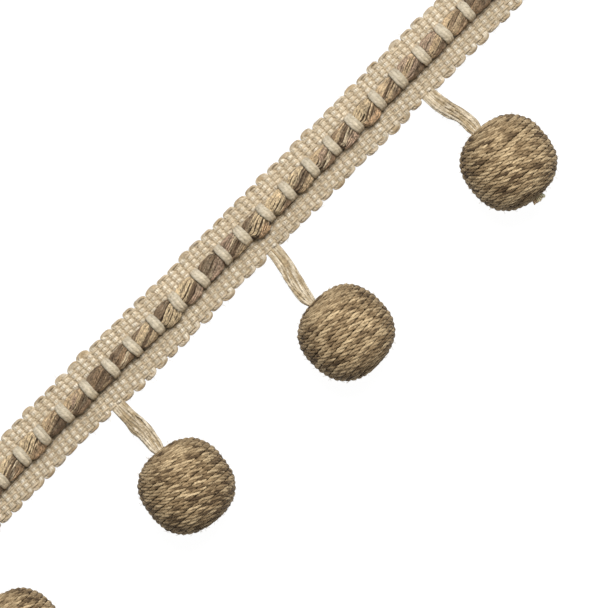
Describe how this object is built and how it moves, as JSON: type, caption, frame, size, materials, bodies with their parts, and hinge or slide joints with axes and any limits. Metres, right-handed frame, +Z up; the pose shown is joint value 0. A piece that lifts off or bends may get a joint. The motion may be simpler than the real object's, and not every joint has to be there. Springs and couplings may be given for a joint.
{
  "type": "beaded fringe trim",
  "caption": "Cut length of woven trim with picot edges, a heavy inlaid space-dyed cord under catch loops, and wound yarn balls hanging from one edge on short yarn loops.",
  "frame": {"origin": "middle of the tape's flat back, halfway along its length and halfway between its picot edges", "axes": "+X along the tape, -Y from the tape towards the balls, +Z up out of the tape's face, which is its patterned side"},
  "size_m": [0.1778, 0.0436, 0.0188],
  "materials": {
    "tape_yarn": "soft cream linen-like weft yarn, matt",
    "cord_yarn": "space-dyed roving in dark brown, mauve brown and gold beige, matt",
    "hanger_yarn": "loose bundle of cream yarn strands, matt",
    "ball_yarn": "three-ply space-dyed yarn in tan and brown, matt"
  },
  "bodies": {
    "root": {"tape": "tape_yarn", "inlay_cord": "cord_yarn", "hanger_1": "hanger_yarn", "hanger_2": "hanger_yarn", "hanger_3": "hanger_yarn", "hanger_4": "hanger_yarn", "ball_1": "ball_yarn", "ball_2": "ball_yarn", "ball_3": "ball_yarn", "ball_4": "ball_yarn"}
  },
  "joints": []
}
